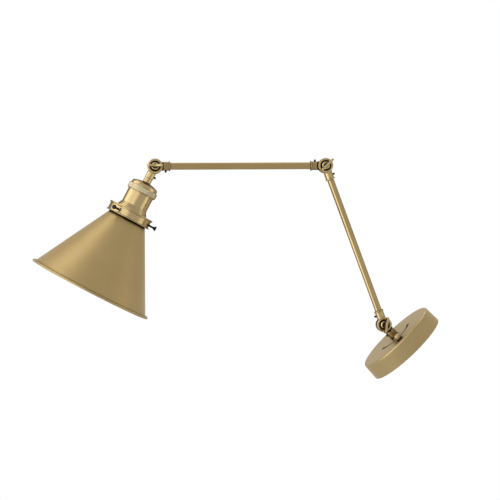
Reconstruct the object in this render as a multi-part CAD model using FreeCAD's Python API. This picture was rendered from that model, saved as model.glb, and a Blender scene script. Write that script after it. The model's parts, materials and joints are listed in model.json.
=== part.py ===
import FreeCAD, Part
import math
import os

# Adjustable wall lamp: a round wall canopy, a two-piece tube arm on three locking knuckles,
# and a lamp holder with a conical shade. Millimetres, +Z up, the wall is the plane y = 0
# and the lamp stands out from it towards -Y, with its arm in the plane x = 0.

# Angles of the arm at rest, in the plane x = 0, from +Y towards +Z.
post_angle = 0.0
lower_arm_angle = 156.4
upper_arm_angle = 226.6
head_angle = 288.4

# Arm.
arm_length = 250.0
tube_radius = 5.0
tube_wall = 1.0

# Clearances.
slide_gap = 0.03
thread_gap = 0.05
running_gap = 0.2
overrun = 1.0

# Canopy.
canopy_back_radius = 63.2
canopy_face_radius = 62.0
canopy_depth = 25.7
canopy_wall = 1.2
canopy_edge_round = 2.8

# The canopy's studs lie on a line that is turned by this angle from level.
stud_line_turn = -2.7
stud_spacing = 88.9
stud_radius = 2.0
stud_hole_gap = 0.25
stud_grip = 7.0

# Arc slot in the canopy's face, and the pin that runs in it.
slot_centre_radius = 25.5
slot_width = 5.0
slot_half_angle = 84.0
stop_pin_gap = 0.3
stop_pin_radius = slot_width / 2 - stop_pin_gap
stop_pin_proud = 1.2

# Two crossed bars behind the canopy.
bar_thick = 1.6
bar_width = 18.0
wall_bar_length = 92.0
canopy_bar_end = 7.55
canopy_bar_length = stud_spacing + 2 * canopy_bar_end
wall_screw_spacing = 60.0
wall_slot_width = 4.5
wall_slot_length = 14.0
bar_hole_radius = 6.0
rivet_wall = 0.8
rivet_lip = 1.4
rivet_lip_thick = 0.6

# Nuts on the studs.
stud_nut_across = 7.0
stud_nut_thick = 2.6
cap_nut_radius = 5.0
cap_nut_height = 9.4
cap_nut_crown = 3.4
cap_nut_foot_radius = 4.0
cap_nut_foot = 0.8

# Terminals on the canopy bar.
terminal_length = 22.0
terminal_width = 15.0
terminal_height = 12.0
terminal_count = 3
terminal_place_share = 0.25
terminal_wire_radius = 1.6
terminal_screw_share = 0.25
terminal_screw_radius = 1.5
terminal_screw_length = 4.0
terminal_screw_sunk = 0.8
terminal_edge = 0.8
earth_place_share = 0.23
earth_thread_radius = 2.0
earth_head_radius = 3.6
earth_head_height = 2.4
earth_slot_width = 0.9
earth_slot_depth = 1.1

# Swivel stack that holds the arm to the canopy's face.
nipple_radius = 5.0
nipple_wall = 1.5
nipple_bore_radius = nipple_radius - nipple_wall
nipple_hold = 10.0
nipple_tail = 1.4
fibre_washer_thick = 1.0
fibre_washer_width = 4.0
fibre_washer_radius = nipple_radius + fibre_washer_width
stop_plate_thick = 1.5
stop_plate_hub_radius = fibre_washer_radius
stop_plate_eye_wall = 1.2
stop_plate_tip_radius = stop_pin_radius + stop_plate_eye_wall
wave_washer_thick = 0.9
wave_washer_width = 3.2
wave_washer_radius = nipple_radius + wave_washer_width
lock_nut_wall = 2.0
lock_nut_across = 2 * (nipple_radius + lock_nut_wall)
lock_nut_thick = 3.0

# Knuckles: two half discs with a friction washer between them.
disc_radius = 11.0
half_thick = 6.5
disc_round = 0.9
relief_gap = 2.2
wing_shank_radius = 3.0
chamber_core_wall = 1.6
chamber_inner_radius = wing_shank_radius + chamber_core_wall
chamber_rim = 3.0
chamber_outer_radius = disc_radius - chamber_rim
chamber_depth = 2.2
washer_thick = 1.0
washer_edge_gap = 0.4
washer_inner_radius = chamber_outer_radius + washer_edge_gap
washer_outer_radius = disc_radius - washer_edge_gap
tail_wall = 1.35
tail_radius = tube_radius + tail_wall
tail_reach = 22.0
tail_lip_step = 0.9
tail_lip_radius = tail_radius + tail_lip_step
tail_lip_thick = 1.5
tail_lip_round = 0.4
socket_floor_wall = 1.5
socket_floor = disc_radius + socket_floor_wall
post_wall = 1.8
post_radius = nipple_radius + post_wall
knuckle_height = 24.0
well_rim = 2.9
well_radius = disc_radius - well_rim
well_depth = 3.0
wire_hole_radius = 1.6

# Black set screws in the tails.
set_screw_radius = 1.5
set_screw_step = 2.9
set_screw_place = socket_floor + set_screw_step
set_screw_proud = 2.8
post_screw_proud = 2.0
set_screw_round = 0.5
set_screw_socket_radius = 0.75
set_screw_socket_depth = 1.2

# Wing screws.
wing_shank_end_gap = 0.5
wing_boss_gap = 2.2
wing_boss_radius = well_radius - wing_boss_gap
wing_boss_proud = 2.2
wing_boss_round = 2.2
wing_span = 24.0
wing_reach = 20.0
wing_waist = 9.4
wing_thick = 2.6
wing_root_thick = 3.8
wing_dip = 2.0
wing_tip_share = 0.2
wing_hip_share = 0.25
wing_hip_rise_share = 0.33
wing_turn_base = 126.0
wing_turn_elbow = 90.0
wing_turn_head = 46.0

# Head: heights are taken along the head's axis from its knuckle.
head_tail_reach = 19.6
collar_wall = 1.0
collar_radius = nipple_radius + collar_wall
collar_height = 7.2
collar_edge = 0.6
holder_radius = 19.6
holder_wall = 1.2
holder_lip_step = 0.8
holder_lip_radius = holder_radius + holder_lip_step
holder_lip_thick = 1.7
holder_spigot_step = 0.4
holder_spigot_radius = holder_radius - holder_spigot_step
holder_spigot = 7.5
cap_fit_gap = 0.1
cap_radius = holder_spigot_radius + cap_fit_gap + holder_wall
cap_height = 9.2
cap_skirt = 7.8
cap_shoulder_step = 1.2
cap_shoulder_radius = cap_radius - cap_shoulder_step
cap_shoulder_drop = 3.7
cap_slope_share = 0.33
cap_bend_share = 0.25
cap_bend_drop_share = 0.48
cap_seat_margin = 1.0
band_thick = 1.8
band_radius = cap_radius + band_thick
band_round = 0.8
band_flutes = 72
band_flute_depth = 0.35
holder_straight = 20.5
holder_flare_step = 3.4
holder_flare_radius = holder_radius + holder_flare_step
holder_flare_height = 7.0
holder_ridges = 3
holder_ridge_round = 0.55
holder_ridge_share = 0.25
clamp_thread_reach = 7.5
ring_nut_wall = 5.0
ring_nut_radius = holder_radius + ring_nut_wall
ring_nut_thick = 4.6
ring_nut_notches = 4
ring_nut_notch_width = 4.0
ring_nut_notch_depth = 1.4

# The shade's neck clears the ring nut, and the gallery clears the neck.
shade_wall = 0.8
shade_neck_gap = 3.1
shade_neck_radius = ring_nut_radius + shade_neck_gap + shade_wall
gallery_wall = 1.2
gallery_neck_gap = 3.0
gallery_radius = shade_neck_radius + gallery_neck_gap + gallery_wall
gallery_lip_step = 1.6
gallery_lip_radius = gallery_radius + gallery_lip_step
gallery_lip_thick = 1.5
gallery_top_thick = 2.4
gallery_height = 13.4

# Thumb screws of the gallery.
gallery_screw_count = 3
gallery_screw_turn = -86.0
gallery_screw_drop = 7.6
gallery_screw_radius = 1.5
gallery_screw_proud = 10.9
gallery_screw_head_radius = 3.3
gallery_screw_head_length = 2.8
gallery_screw_neck_radius = 2.2
gallery_screw_neck_length = 1.6
gallery_screw_flutes = 20
gallery_screw_flute_radius = 0.32

# Lamp holder inside.
insulator_drop = 2.8
insulator_floor_thick = 5.0
insulator_reach = 6.0
insulator_mouth_step = 0.75
insulator_shoulder = 8.0
lamp_thread_radius = 13.5
screw_shell_thick = 0.5
insulator_bore_radius = lamp_thread_radius + screw_shell_thick + thread_gap
insulator_ledge_width = 1.1
insulator_ledge_radius = lamp_thread_radius - insulator_ledge_width
insulator_ledge = 5.6
screw_shell_length = 20.5
contact_width = 6.0
contact_thick = 0.6
contact_rise = 4.0
contact_length = 17.0
contact_heel_share = 0.33
contact_toe_share = 0.25
contact_crook_share = 0.45
contact_rivet_share = 0.62
contact_rivet_radius = 1.6
holder_screw_radius = 1.5
holder_screw_head_radius = 2.8
holder_screw_head_height = 1.8
holder_screw_place = 9.5

# Shade.
shade_neck_drop = 1.7
shade_neck_lip = 1.3
shade_cone_drop = 0.2
shade_half_angle = 28.0
shade_length = 115.0
shade_bead_radius = 1.9

hex_sides = 6

X_AXIS = FreeCAD.Vector(1, 0, 0)
Y_AXIS = FreeCAD.Vector(0, 1, 0)
Z_AXIS = FreeCAD.Vector(0, 0, 1)
ORIGIN = FreeCAD.Vector(0, 0, 0)

full_turn = 360.0
half_turn = full_turn / 2
quarter_turn = full_turn / 4


def outline(points):
    # A closed face in the radius-height plane. A pair of points is an arc through the first to the second.
    edges = []
    here = FreeCAD.Vector(points[0][0], 0, points[0][1])
    for step in points[1:] + points[:1]:
        curved = isinstance(step[0], tuple)
        end_pair = step[1] if curved else step
        end = FreeCAD.Vector(end_pair[0], 0, end_pair[1])
        if curved:
            middle = FreeCAD.Vector(step[0][0], 0, step[0][1])
            edges.append(Part.Arc(here, middle, end).toShape())
        elif not here.isEqual(end, 0):
            edges.append(Part.LineSegment(here, end).toShape())
        here = end
    return Part.Face(Part.Wire(edges))


def corner(centre, radius, angle):
    # The point on a corner's arc at an angle from the radius direction.
    turn = math.radians(angle)
    return (centre[0] + radius * math.cos(turn), centre[1] + radius * math.sin(turn))


def turned(points):
    return outline(points).revolve(ORIGIN, Z_AXIS, full_turn)


def rod(radius, low, high):
    return Part.makeCylinder(radius, high - low, FreeCAD.Vector(0, 0, low))


def pipe(outer, inner, low, high):
    return rod(outer, low, high).cut(rod(inner, low - overrun, high + overrun))


def along_x(shape):
    moved = shape.copy()
    moved.rotate(ORIGIN, Y_AXIS, quarter_turn)
    return moved


def along_y(shape):
    # The shape's own height runs along +Y.
    moved = shape.copy()
    moved.rotate(ORIGIN, X_AXIS, -quarter_turn)
    return moved


def shifted(shape, x, y, z):
    moved = shape.copy()
    moved.translate(FreeCAD.Vector(x, y, z))
    return moved


def spun(shape, angle):
    moved = shape.copy()
    moved.rotate(ORIGIN, Z_AXIS, angle)
    return moved


def hex_reach(across):
    # From the middle of a hexagon to its corner.
    return across / 2 / math.cos(math.radians(half_turn / hex_sides))


def prism(across, low, high):
    # A hexagonal prism, by its width across flats.
    reach = hex_reach(across)
    turns = [math.radians(full_turn * i / hex_sides) for i in range(hex_sides)]
    ring = [FreeCAD.Vector(reach * math.cos(t), reach * math.sin(t), low) for t in turns]
    return Part.Face(Part.makePolygon(ring + ring[:1])).extrude(Z_AXIS * (high - low))


def hex_nut(across, bore, low, high):
    # Corners are turned down to a round at both faces.
    reach = hex_reach(across)
    fall = (reach - across / 2) / 2
    blank = turned([(0, low), (across / 2, low), (reach, low + fall), (reach, high - fall),
                    (across / 2, high), (0, high)])
    return prism(across, low, high).common(blank).cut(rod(bore, low - overrun, high + overrun))


def box(length, width, low, high):
    corner_point = FreeCAD.Vector(-length / 2, -width / 2, low)
    return Part.makeBox(length, width, high - low, corner_point)


def slot(length, width, low, high):
    # A slot with round ends, along X.
    straight = box(length - width, width, low, high)
    ends = [shifted(rod(width / 2, low, high), s * (length - width) / 2, 0, 0) for s in (-1, 1)]
    return straight.fuse(ends)


def from_wall(shape, turn=0.0):
    # The shape's height runs out of the wall, and its own Y runs up.
    moved = spun(shape, turn)
    moved.rotate(ORIGIN, X_AXIS, quarter_turn)
    return moved


def from_pivot(shape, pivot, angle):
    # The shape's height runs along a direction in the plane x = 0.
    moved = shape.copy()
    moved.rotate(ORIGIN, X_AXIS, angle - quarter_turn)
    moved.translate(pivot)
    return moved


def arm_step(length, angle):
    turn = math.radians(angle)
    return FreeCAD.Vector(0, length * math.cos(turn), length * math.sin(turn))


base_pivot = FreeCAD.Vector(0, -canopy_depth - knuckle_height, 0)
elbow_pivot = base_pivot + arm_step(arm_length, lower_arm_angle)
head_pivot = elbow_pivot + arm_step(arm_length, upper_arm_angle)


def export(name, shapes):
    # Each node is one solid, or a group of separate solids.
    parts = shapes if isinstance(shapes, list) else [shapes]
    solids = [solid for shape in parts for solid in shape.removeSplitter().Solids]
    node = solids[0] if len(solids) == 1 else Part.makeCompound(solids)
    node.exportStep("parts/" + name + ".step")
    print(name, len(solids), "solids", round(node.Volume), "mm3")


def canopy_dish():
    draft = (canopy_back_radius - canopy_face_radius) / canopy_depth
    edge_low = canopy_depth - canopy_edge_round
    side = canopy_back_radius - draft * edge_low
    middle = (side - canopy_edge_round, edge_low)
    inner_round = canopy_edge_round - canopy_wall
    inside = side - canopy_wall
    dish = turned([
        (canopy_back_radius, 0),
        (side, edge_low),
        (corner(middle, canopy_edge_round, quarter_turn / 2), (middle[0], canopy_depth)),
        (0, canopy_depth),
        (0, canopy_depth - canopy_wall),
        (middle[0], canopy_depth - canopy_wall),
        (corner(middle, inner_round, quarter_turn / 2), (inside, edge_low)),
        (canopy_back_radius - canopy_wall, 0),
    ])
    low = canopy_depth - canopy_wall - overrun
    high = canopy_depth + overrun
    cuts = [rod(nipple_radius + running_gap, low, high), arc_slot(low, high)]
    for side_sign in (-1, 1):
        hole = rod(stud_radius + stud_hole_gap, low, high)
        cuts.append(shifted(hole, side_sign * stud_spacing / 2, 0, 0))
    return from_wall(dish.cut(cuts), stud_line_turn)


def arc_slot(low, high):
    band = pipe(slot_centre_radius + slot_width / 2, slot_centre_radius - slot_width / 2, low, high)
    sweep = Part.makeCylinder(
        canopy_face_radius, high - low, FreeCAD.Vector(0, 0, low), Z_AXIS, 2 * slot_half_angle
    )
    cut = band.common(spun(sweep, -slot_half_angle))
    for end in (-slot_half_angle, slot_half_angle):
        cap = shifted(rod(slot_width / 2, low, high), slot_centre_radius, 0, 0)
        cut = cut.fuse(spun(cap, end))
    return cut


def wall_bar():
    bar = box(wall_bar_length, bar_width, 0, bar_thick)
    bar = bar.cut(rod(bar_hole_radius, -overrun, bar_thick + overrun))
    for side_sign in (-1, 1):
        cut = slot(wall_slot_length, wall_slot_width, -overrun, bar_thick + overrun)
        bar = bar.cut(shifted(cut, side_sign * wall_screw_spacing / 2, 0, 0))
    return from_wall(rounded_bar(bar, wall_bar_length, 0), quarter_turn)


def rounded_bar(bar, length, low):
    # The bar's ends are cut to a half round.
    return bar.common(slot(length, bar_width, low - overrun, low + bar_thick + overrun))


def canopy_bar():
    low = bar_thick
    bar = box(canopy_bar_length, bar_width, low, low + bar_thick)
    bar = bar.cut(rod(bar_hole_radius, low - overrun, low + bar_thick + overrun))
    for side_sign in (-1, 1):
        hole = rod(stud_radius + thread_gap, low - overrun, low + bar_thick + overrun)
        bar = bar.cut(shifted(hole, side_sign * stud_spacing / 2, 0, 0))
    earth_hole = rod(earth_thread_radius + thread_gap, low - overrun, low + bar_thick + overrun)
    bar = bar.cut(shifted(earth_hole, earth_place_share * canopy_bar_length, 0, 0))
    return from_wall(rounded_bar(bar, canopy_bar_length, low), stud_line_turn)


def bar_rivet():
    # A hollow rivet that joins the two bars and leaves a way for the wires.
    top = 2 * bar_thick
    outer = bar_hole_radius - thread_gap
    inner = outer - rivet_wall
    return from_wall(turned([
        (inner, 0),
        (outer, 0),
        (outer, top),
        (bar_hole_radius + rivet_lip, top),
        (bar_hole_radius + rivet_lip, top + rivet_lip_thick),
        (inner, top + rivet_lip_thick),
    ]))


def canopy_studs():
    stud = rod(stud_radius, bar_thick, canopy_depth + stud_grip)
    pair = [shifted(stud, s * stud_spacing / 2, 0, 0) for s in (-1, 1)]
    return [from_wall(one, stud_line_turn) for one in pair]


def stud_locknuts():
    low = 2 * bar_thick
    nut = hex_nut(stud_nut_across, stud_radius + thread_gap, low, low + stud_nut_thick)
    pair = [shifted(nut, s * stud_spacing / 2, 0, 0) for s in (-1, 1)]
    return [from_wall(one, stud_line_turn) for one in pair]


def canopy_cap_nuts():
    low = canopy_depth
    top = low + cap_nut_height
    crown_low = top - cap_nut_crown
    ball_radius = (cap_nut_radius**2 + cap_nut_crown**2) / (2 * cap_nut_crown)
    ball = (0, top - ball_radius)
    brink = math.degrees(math.atan2(crown_low - ball[1], cap_nut_radius))
    crown_middle = corner(ball, ball_radius, (brink + quarter_turn) / 2)
    nut = turned([
        (0, low),
        (cap_nut_foot_radius, low),
        (cap_nut_foot_radius, low + cap_nut_foot),
        (cap_nut_radius, low + cap_nut_foot),
        (cap_nut_radius, crown_low),
        (crown_middle, (0, top)),
    ])
    nut = nut.cut(rod(stud_radius + thread_gap, low - overrun, low + stud_grip + thread_gap))
    pair = [shifted(nut, s * stud_spacing / 2, 0, 0) for s in (-1, 1)]
    return [from_wall(one, stud_line_turn) for one in pair]


def terminal_cell_places():
    pitch = terminal_width / terminal_count
    return [(i - (terminal_count - 1) / 2) * pitch for i in range(terminal_count)]


def terminal_block():
    low = 2 * bar_thick
    high = low + terminal_height
    block = box(terminal_length, terminal_width, low, high)
    block = block.makeChamfer(terminal_edge, [e for e in block.Edges if e.BoundBox.ZMin > high - terminal_edge])
    wire_height = low + terminal_height / 2
    for place in terminal_cell_places():
        wire_hole = along_x(rod(terminal_wire_radius, -terminal_length, terminal_length))
        block = block.cut(shifted(wire_hole, 0, place, wire_height))
        for side_sign in (-1, 1):
            hole = rod(terminal_screw_radius + thread_gap, wire_height, high + overrun)
            block = block.cut(shifted(hole, side_sign * terminal_screw_share * terminal_length, place, 0))
    return from_wall(shifted(block, -terminal_place_share * canopy_bar_length, 0, 0), stud_line_turn)


def terminal_screws():
    high = 2 * bar_thick + terminal_height - terminal_screw_sunk
    screw = rod(terminal_screw_radius, high - terminal_screw_length, high)
    middle = -terminal_place_share * canopy_bar_length
    screws = []
    for place in terminal_cell_places():
        for side_sign in (-1, 1):
            along = middle + side_sign * terminal_screw_share * terminal_length
            screws.append(from_wall(shifted(screw, along, place, 0), stud_line_turn))
    return screws


def earth_screw():
    low = 2 * bar_thick
    top = low + earth_head_height
    head = rod(earth_head_radius, low, top)
    thread = rod(earth_thread_radius, bar_thick, low)
    drive = box(2 * earth_head_radius + overrun, earth_slot_width, top - earth_slot_depth, top + overrun)
    screw = head.fuse(thread).cut(drive)
    return from_wall(shifted(screw, earth_place_share * canopy_bar_length, 0, 0), stud_line_turn)


# Heights of the swivel stack, from the canopy's face inwards.
washer_top = canopy_depth - canopy_wall
plate_top = washer_top - fibre_washer_thick
wave_top = plate_top - stop_plate_thick
nut_top = wave_top - wave_washer_thick
nipple_low = nut_top - lock_nut_thick - nipple_tail


def pan_nipple():
    return from_wall(pipe(nipple_radius, nipple_bore_radius, nipple_low, canopy_depth + nipple_hold))


def pan_fibre_washer():
    return from_wall(pipe(fibre_washer_radius, nipple_radius + thread_gap, plate_top, washer_top))


def pan_stop_plate():
    # A flat lever: a hub round the nipple, a tapered arm, and an eye for the stop pin.
    low, high = wave_top, plate_top
    lean = math.acos((stop_plate_hub_radius - stop_plate_tip_radius) / slot_centre_radius)
    across = [(math.cos(lean), math.sin(lean)), (math.cos(lean), -math.sin(lean))]
    flank = [FreeCAD.Vector(stop_plate_hub_radius * c, stop_plate_hub_radius * s, low) for c, s in across]
    tip = [FreeCAD.Vector(slot_centre_radius + stop_plate_tip_radius * c, stop_plate_tip_radius * s, low)
           for c, s in across]
    ring = [flank[0], tip[0], tip[1], flank[1], flank[0]]
    arm = Part.Face(Part.makePolygon(ring)).extrude(Z_AXIS * (high - low))
    eye = shifted(rod(stop_plate_tip_radius, low, high), slot_centre_radius, 0, 0)
    plate = rod(stop_plate_hub_radius, low, high).fuse([arm, eye])
    plate = plate.cut(rod(nipple_radius + thread_gap, low - overrun, high + overrun))
    hole = shifted(rod(stop_pin_radius, low - overrun, high + overrun), slot_centre_radius, 0, 0)
    return from_wall(plate.cut(hole), stud_line_turn)


def pan_stop_pin():
    pin = rod(stop_pin_radius, wave_top, canopy_depth + stop_pin_proud)
    return from_wall(shifted(pin, slot_centre_radius, 0, 0), stud_line_turn)


def pan_wave_washer():
    return from_wall(pipe(wave_washer_radius, nipple_radius + thread_gap, nut_top, wave_top))


def pan_locknut():
    return from_wall(hex_nut(lock_nut_across, nipple_radius + thread_gap, nut_top - lock_nut_thick, nut_top))


def knuckle_disc(side_sign):
    # One half disc with its edge rounded on the outer face, along X.
    inner = washer_thick / 2
    outer = inner + half_thick
    round_centre = (disc_radius - disc_round, outer - disc_round)
    disc = turned([
        (0, inner),
        (disc_radius, inner),
        (disc_radius, outer - disc_round),
        (corner(round_centre, disc_round, quarter_turn / 2), (round_centre[0], outer)),
        (0, outer),
    ])
    chamber = pipe(chamber_outer_radius, chamber_inner_radius, inner - overrun, inner + chamber_depth)
    disc = disc.cut(chamber)
    facing = along_x(disc)
    if side_sign < 0:
        facing.rotate(ORIGIN, Z_AXIS, half_turn)
    return facing


def knuckle_tail(side_sign, radius, reach, lip):
    tail = rod(radius, 0, reach)
    if lip:
        ring_low = reach - tail_lip_thick
        round_place = tail_lip_radius - tail_lip_round
        tail = tail.fuse(turned([
            (0, ring_low),
            (round_place, ring_low),
            (corner((round_place, ring_low + tail_lip_round), tail_lip_round, -quarter_turn / 2),
             (tail_lip_radius, ring_low + tail_lip_round)),
            (tail_lip_radius, reach - tail_lip_round),
            (corner((round_place, reach - tail_lip_round), tail_lip_round, quarter_turn / 2),
             (round_place, reach)),
            (0, reach),
        ]))
    # The tail is hollowed where the other half's disc turns past it.
    relief = rod(disc_radius + relief_gap, -disc_radius, washer_thick / 2)
    facing = along_x(relief)
    if side_sign < 0:
        facing.rotate(ORIGIN, Z_AXIS, half_turn)
    return tail.cut(facing)


def knuckle(side_sign, radius, reach, lip, floor, bore, screw_side):
    inner = washer_thick / 2
    outer = inner + half_thick
    half = knuckle_disc(side_sign).fuse(knuckle_tail(side_sign, radius, reach, lip))
    cuts = [rod(bore, floor, reach + overrun)]
    screw_hole = wing_shank_radius + (running_gap if side_sign > 0 else thread_gap)
    cuts.append(along_x(rod(screw_hole, -outer - overrun, outer + overrun)))
    if side_sign > 0:
        cuts.append(along_x(rod(well_radius, outer - well_depth, outer + overrun)))
    wire_hole = rod(wire_hole_radius, chamber_outer_radius - overrun, floor + overrun)
    cuts.append(shifted(wire_hole, side_sign * (inner + wire_hole_radius), 0, 0))
    screw_way = along_y(rod(set_screw_radius + thread_gap, 0, radius + overrun))
    if screw_side < 0:
        screw_way.rotate(ORIGIN, Z_AXIS, half_turn)
    cuts.append(shifted(screw_way, 0, 0, set_screw_place))
    return half.cut(cuts)


def set_screw(screw_side, inner, outer):
    # A socket screw that bears on what the tail holds.
    edge = set_screw_radius - set_screw_round
    screw = turned([
        (0, inner),
        (set_screw_radius, inner),
        (set_screw_radius, outer - set_screw_round),
        (corner((edge, outer - set_screw_round), set_screw_round, quarter_turn / 2), (edge, outer)),
        (0, outer),
    ])
    socket = rod(set_screw_socket_radius, outer - set_screw_socket_depth, outer + overrun)
    facing = along_y(screw.cut(socket))
    if screw_side < 0:
        facing.rotate(ORIGIN, Z_AXIS, half_turn)
    return shifted(facing, 0, 0, set_screw_place)


def tail_screw(screw_side):
    return set_screw(screw_side, tube_radius + slide_gap, tail_radius + set_screw_proud)


def friction_washer():
    return along_x(pipe(washer_outer_radius, washer_inner_radius, -washer_thick / 2, washer_thick / 2))


def arm_tube():
    return pipe(tube_radius, tube_radius - tube_wall, socket_floor, arm_length - socket_floor)


def arm_knuckle(side_sign, screw_side):
    return knuckle(side_sign, tail_radius, tail_reach, True, socket_floor, tube_radius + slide_gap, screw_side)


def base_post():
    floor = knuckle_height - nipple_hold
    return knuckle(-1, post_radius, knuckle_height, False, floor, nipple_radius + thread_gap, 1)


def wing_plate(low):
    # The wing's outline, a waist at the boss that spreads to two round tips, cut to a wedge that thins upwards.
    high = low + wing_reach
    tip = wing_span / 2
    waist = wing_waist / 2
    tip_round = wing_tip_share * wing_reach
    hip = (waist + wing_hip_share * (tip - waist), low + wing_hip_rise_share * wing_reach)
    under = (tip - wing_hip_share * tip_round, high - 2 * tip_round)
    crown = (tip - tip_round / 2, high)
    front = outline([
        (waist, low),
        (hip, under),
        ((tip, high - tip_round), crown),
        ((0, high - wing_dip), (-crown[0], crown[1])),
        ((-tip, high - tip_round), (-under[0], under[1])),
        ((-hip[0], hip[1]), (-waist, low)),
    ]).extrude(Y_AXIS * wing_root_thick)
    edge_on = outline([
        (wing_root_thick / 2, low),
        (wing_thick / 2, high - wing_thick / 2),
        ((0, high), (-wing_thick / 2, high - wing_thick / 2)),
        (-wing_root_thick / 2, low),
    ]).extrude(Y_AXIS * wing_span)
    wedge = spun(shifted(edge_on, 0, -wing_span / 2, 0), quarter_turn)
    return shifted(front, 0, -wing_root_thick / 2, 0).common(wedge)


def wing_screw(turn):
    outer = washer_thick / 2 + half_thick
    seat = outer - well_depth
    top = outer + wing_boss_proud
    edge = wing_boss_radius - wing_boss_round
    boss = turned([
        (0, seat),
        (wing_boss_radius, seat),
        (wing_boss_radius, top - wing_boss_round),
        (corner((edge, top - wing_boss_round), wing_boss_round, quarter_turn / 2), (edge, top)),
        (0, top),
    ])
    shank = rod(wing_shank_radius, -outer + wing_shank_end_gap, seat)
    screw = boss.fuse([shank, wing_plate(top - wing_boss_round / 2)])
    # The plate's width lies along Z once the screw's height runs along X.
    facing = along_x(screw)
    facing.rotate(ORIGIN, X_AXIS, turn - quarter_turn)
    return facing


# Heights along the head's axis.
cap_top = head_tail_reach + collar_height
cap_low = cap_top + cap_height
band_low = cap_low + cap_skirt
flare_top = band_low + holder_lip_thick + holder_straight
gallery_top = flare_top + holder_flare_height
gallery_low = gallery_top + gallery_height
nut_face = gallery_top + gallery_wall
insulator_floor = band_low + insulator_drop
insulator_mouth = gallery_top + insulator_reach
shade_rim_place = gallery_low + shade_length


def head_knuckle():
    return knuckle(1, tail_radius, head_tail_reach, False, socket_floor, nipple_radius + thread_gap, -1)


def neck_collar():
    low, high = head_tail_reach, cap_top
    return turned([
        (nipple_radius + thread_gap, low),
        (collar_radius - collar_edge, low),
        (collar_radius, low + collar_edge),
        (collar_radius, high - collar_edge),
        (collar_radius - collar_edge, high),
        (nipple_radius + thread_gap, high),
    ])


def holder_nipple():
    high = cap_top + holder_wall + lock_nut_thick + nipple_tail
    return pipe(nipple_radius, nipple_bore_radius, socket_floor, high)


def holder_locknut():
    low = cap_top + holder_wall
    return hex_nut(lock_nut_across, nipple_radius + thread_gap, low, low + lock_nut_thick)


def holder_cap():
    # A shallow bell: a flat round the neck, a long slope, a round shoulder and a straight skirt.
    shoulder = (cap_shoulder_radius, cap_top + cap_shoulder_drop)
    slope = ((collar_radius + cap_shoulder_radius) / 2, cap_top + cap_slope_share * cap_shoulder_drop)
    bend = (cap_radius - cap_bend_share * (cap_radius - cap_shoulder_radius),
            cap_top + cap_bend_drop_share * (cap_shoulder_drop + cap_height))
    inside = (cap_shoulder_radius - holder_wall / 2, shoulder[1] + holder_wall)
    inner_slope = (slope[0] - cap_slope_share * holder_wall, slope[1] + holder_wall)
    inner_bend = (bend[0] - holder_wall, bend[1] + cap_slope_share * holder_wall)
    nut_seat = lock_nut_across / 2 + cap_seat_margin
    return turned([
        (nipple_radius + thread_gap, cap_top),
        (collar_radius, cap_top),
        (slope, shoulder),
        (bend, (cap_radius, cap_low)),
        (cap_radius, band_low),
        (cap_radius - holder_wall, band_low),
        (cap_radius - holder_wall, cap_low),
        (inner_bend, inside),
        (inner_slope, (nut_seat, cap_top + holder_wall)),
        (nipple_radius + thread_gap, cap_top + holder_wall),
    ])


def knurled_band():
    low, high = cap_low, band_low
    inner = cap_radius
    edge = band_radius - band_round
    band = turned([
        (inner, low),
        (edge, low),
        (corner((edge, low + band_round), band_round, -quarter_turn / 2), (band_radius, low + band_round)),
        (band_radius, high - band_round),
        (corner((edge, high - band_round), band_round, quarter_turn / 2), (edge, high)),
        (inner, high),
    ])
    pitch = full_turn / band_flutes
    reach = 2 * math.pi * band_radius / band_flutes / 2
    groove = []
    for i in range(band_flutes):
        tool = Part.makePolygon([
            FreeCAD.Vector(band_radius - band_flute_depth, 0, low - overrun),
            FreeCAD.Vector(band_radius + band_flute_depth, reach, low - overrun),
            FreeCAD.Vector(band_radius + band_flute_depth, -reach, low - overrun),
            FreeCAD.Vector(band_radius - band_flute_depth, 0, low - overrun),
        ])
        groove.append(spun(Part.Face(tool).extrude(Z_AXIS * (high - low + 2 * overrun)), i * pitch))
    return band.cut(groove)


def holder_shell():
    # A spigot inside the cap, a lip, a straight barrel, a ridged flare, and the clamping thread below it.
    lip_low = band_low + holder_lip_thick
    ridge = holder_flare_height / holder_ridges
    wide = holder_flare_radius - holder_radius
    steps = []
    for i in range(holder_ridges):
        low = flare_top + i * ridge
        grown = holder_radius + wide * (i + 1) / holder_ridges
        start = holder_radius + wide * i / holder_ridges
        steps.append((start, low))
        steps.append((
            (grown - holder_ridge_share * holder_ridge_round, low + holder_ridge_share * ridge),
            (grown, low + ridge / 2),
        ))
        steps.append((grown, low + ridge - holder_ridge_round))
    bore = holder_spigot_radius - holder_wall
    return turned([
        (bore, band_low - holder_spigot),
        (holder_spigot_radius, band_low - holder_spigot),
        (holder_spigot_radius, band_low),
        (holder_lip_radius, band_low),
        (holder_lip_radius, lip_low),
        (holder_radius, lip_low),
        *steps,
        (holder_flare_radius, gallery_top),
        (holder_radius, gallery_top),
        (holder_radius, gallery_top + clamp_thread_reach),
        (bore, gallery_top + clamp_thread_reach),
    ])


def gallery_screw_angles():
    return [gallery_screw_turn + full_turn * i / gallery_screw_count for i in range(gallery_screw_count)]


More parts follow.
